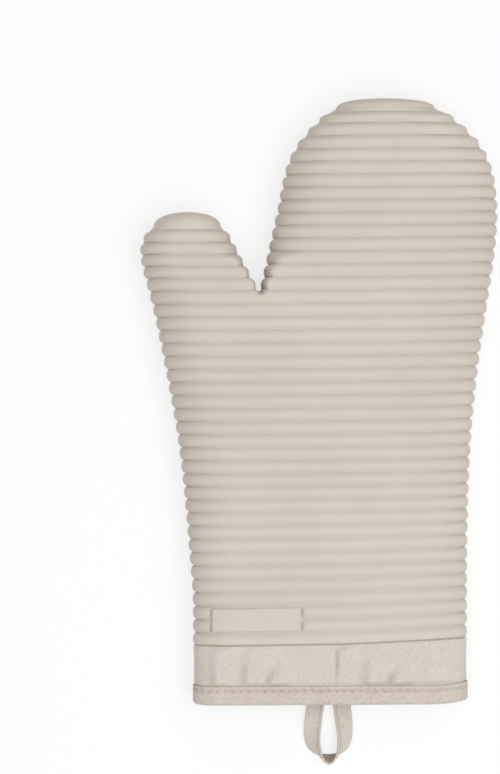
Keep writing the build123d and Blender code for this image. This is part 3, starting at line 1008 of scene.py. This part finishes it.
def cloth_material(name, low, high, pitch):
    """Plain woven cotton: crossing threads read from the flat cloth, with slubs and faint soiling."""
    made, nodes, links, shader = material(name, 0.9, 0.12)
    shader.inputs["Sheen Weight"].default_value = 0.12
    shader.inputs["Sheen Roughness"].default_value = 0.5
    flat = nodes.new("ShaderNodeUVMap")
    flat.uv_map = "cloth"
    place = nodes.new("ShaderNodeTexCoord").outputs["Object"]
    waves = []
    for direction in ("X", "Y"):
        wave = nodes.new("ShaderNodeTexWave")
        wave.wave_type = "BANDS"
        wave.bands_direction = direction
        wave.inputs["Scale"].default_value = WAVE_UNIT / pitch
        wave.inputs["Distortion"].default_value = 1.2
        wave.inputs["Detail"].default_value = 1.0
        wave.inputs["Detail Scale"].default_value = 1.4
        links.new(flat.outputs["UV"], wave.inputs["Vector"])
        waves.append(wave.outputs["Fac"])
    weave = nodes.new("ShaderNodeMath")
    weave.operation = "MAXIMUM"
    links.new(waves[0], weave.inputs[0])
    links.new(waves[1], weave.inputs[1])
    slub = noise(nodes, 900, 4, place, links)
    mixed = nodes.new("ShaderNodeMath")
    mixed.operation = "MULTIPLY_ADD"
    links.new(slub, mixed.inputs[0])
    mixed.inputs[1].default_value = 0.8
    links.new(weave.outputs[0], mixed.inputs[2])
    cloud = noise(nodes, 120, 5, place, links)
    shade = nodes.new("ShaderNodeMix")
    shade.inputs["Factor"].default_value = 0.78
    links.new(cloud, shade.inputs["A"])
    links.new(slub, shade.inputs["B"])
    colour = ramp(nodes, links, shade.outputs["Result"], low, high, 0.38, 0.62)
    links.new(colour, shader.inputs["Base Color"])
    bumped(nodes, links, shader, mixed.outputs[0], 0.0002, 0.6)
    return made


def fibre_material(name, low, high, scale):
    """Loose fibres: fine uneven fluff."""
    made, nodes, links, shader = material(name, 0.95, 0.08)
    place = nodes.new("ShaderNodeTexCoord").outputs["Object"]
    fluff = noise(nodes, scale, 6, place, links)
    links.new(ramp(nodes, links, fluff, low, high), shader.inputs["Base Color"])
    bumped(nodes, links, shader, fluff, 0.0003)
    return made


silicone = silicone_material()
WEAVE = 0.00055
LINING_WEAVE = 0.0006
cuff_cloth = cloth_material("cuff_cloth", linear(213, 202, 192), linear(225, 215, 205), WEAVE)
binding_cloth = cloth_material("binding_cloth", linear(204, 191, 180), linear(221, 210, 199), WEAVE)
# Darker copy of the tape cloth for its underside: painted shade for the shadow on the tape's inner face
# in the bend of the loop
tape_underside_painted_shade = cloth_material("tape_underside_painted_shade", linear(180, 163, 147), linear(196, 179, 163), WEAVE)
lining_cloth = cloth_material("lining_cloth", linear(207, 198, 187), linear(215, 207, 197), LINING_WEAVE)
wadding = fibre_material("wadding", linear(228, 224, 216), linear(240, 237, 231), 700)
thread = fibre_material("thread", linear(210, 198, 186), linear(222, 211, 199), 2600)
SLOTS = {
    "silicone": silicone, "cuff_cloth": cuff_cloth, "lining_cloth": lining_cloth,
    "wadding": wadding, "thread": thread,
}

piece_slots = {
    shell: "silicone", binding: "cuff_cloth", loop: "cuff_cloth", hem_stitches: "thread",
    tacks: "thread", edge_stitches: "thread", tails[0]: "cuff_cloth", tails[1]: "cuff_cloth",
}
for side in ("front", "back"):
    piece_slots[bpy.data.objects[f"wadding_{side}_pad"]] = "wadding"
    piece_slots[bpy.data.objects[f"lining_{side}_cloth"]] = "lining_cloth"
    piece_slots[bpy.data.objects[f"cuff_{side}_cloth"]] = "cuff_cloth"
for piece, name in piece_slots.items():
    piece.data.materials.clear()
    piece.data.materials.append(binding_cloth if piece == binding else SLOTS[name])
# Painted shade: the underside faces of the loop and the tails take the darker cloth
for piece in [loop] + tails:
    piece.data.materials.append(tape_underside_painted_shade)
    for face in piece["under"]:
        piece.data.polygons[face].material_index = 1
    del piece["under"]

# Box of the dressed part, in metres
low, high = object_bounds()

# Stage: white floor and backdrop, one broad soft light almost overhead, and the camera above
FLOOR_SIZE = 24
FLOOR_GLOW = 0.72
WHITE = (1, 1, 1, 1)
SKY_LIGHT = 0.45
LAMP_ENERGY = 10.8
LAMP_SIZE = 1.3
LAMP_PLACE = (0.17, -0.14, 1.2)
CAMERA_HEIGHT = 1.5
CAMERA_TILT = math.radians(3)
CAMERA_AIM = (-38.1, 23.9, 20.0)
SENSOR = 36
IMAGE_ROWS = 774
MM_PER_PIXEL = 0.545


def seen_share(nodes, links, share):
    """A share for what the camera sees, straight or by reflection, and 0 for light on the object."""
    ray = nodes.new("ShaderNodeLightPath")
    total = ray.outputs["Is Camera Ray"]
    for name in ("Is Glossy Ray", "Is Transmission Ray"):
        larger = nodes.new("ShaderNodeMath")
        larger.operation = "MAXIMUM"
        links.new(total, larger.inputs[0])
        links.new(ray.outputs[name], larger.inputs[1])
        total = larger.outputs[0]
    scaled = nodes.new("ShaderNodeMath")
    scaled.operation = "MULTIPLY"
    scaled.inputs[1].default_value = share
    links.new(total, scaled.inputs[0])
    return scaled.outputs[0]


bpy.ops.mesh.primitive_plane_add(size=FLOOR_SIZE, location=(0, 0, 0))
floor = bpy.context.object
floor.name = "floor"
paper, paper_nodes, paper_links, paper_shader = material("paper", 1.0, 0.0)
paper_shader.inputs["Base Color"].default_value = (0.98, 0.98, 0.98, 1)
glow = paper_nodes.new("ShaderNodeEmission")
glow.inputs["Color"].default_value = WHITE
glow.inputs["Strength"].default_value = 1.0
blend = paper_nodes.new("ShaderNodeMixShader")
paper_links.new(seen_share(paper_nodes, paper_links, FLOOR_GLOW), blend.inputs["Fac"])
paper_links.new(paper_shader.outputs["BSDF"], blend.inputs[1])
paper_links.new(glow.outputs["Emission"], blend.inputs[2])
paper_links.new(blend.outputs["Shader"], paper_nodes["Material Output"].inputs["Surface"])
floor.data.materials.append(paper)

scene = bpy.context.scene
world = bpy.data.worlds.new("studio")
scene.world = world
world.use_nodes = True
sky_nodes, sky_links = world.node_tree.nodes, world.node_tree.links
sky = sky_nodes["Background"]
sky.inputs["Color"].default_value = WHITE
sky.inputs["Strength"].default_value = SKY_LIGHT
backdrop = sky_nodes.new("ShaderNodeBackground")
backdrop.inputs["Color"].default_value = WHITE
backdrop.inputs["Strength"].default_value = 1.0
sky_mix = sky_nodes.new("ShaderNodeMixShader")
sky_links.new(seen_share(sky_nodes, sky_links, 1.0), sky_mix.inputs["Fac"])
sky_links.new(sky.outputs["Background"], sky_mix.inputs[1])
sky_links.new(backdrop.outputs["Background"], sky_mix.inputs[2])
sky_links.new(sky_mix.outputs["Shader"], sky_nodes["World Output"].inputs["Surface"])

lamp_data = bpy.data.lights.new("key", "AREA")
lamp_data.energy = LAMP_ENERGY
lamp_data.shape = "DISK"
lamp_data.size = LAMP_SIZE
lamp = bpy.data.objects.new("key", lamp_data)
lamp.location = LAMP_PLACE
lamp.rotation_euler = (math.radians(4), math.radians(8), 0)
lamp.visible_camera = False
scene.collection.objects.link(lamp)

aim = np.array(CAMERA_AIM) * MM
camera_data = bpy.data.cameras.new("camera")
camera_data.sensor_width = SENSOR
camera_data.lens = SENSOR * CAMERA_HEIGHT / (IMAGE_ROWS * MM_PER_PIXEL * MM)
camera_data.dof.use_dof = False
camera_data.clip_start = 0.01
camera = bpy.data.objects.new("camera", camera_data)
camera.location = aim + CAMERA_HEIGHT * np.array([-math.sin(CAMERA_TILT), 0, math.cos(CAMERA_TILT)])
camera.rotation_euler = (0, -CAMERA_TILT, 0)
scene.collection.objects.link(camera)
scene.camera = camera
scene.view_settings.view_transform = "Standard"
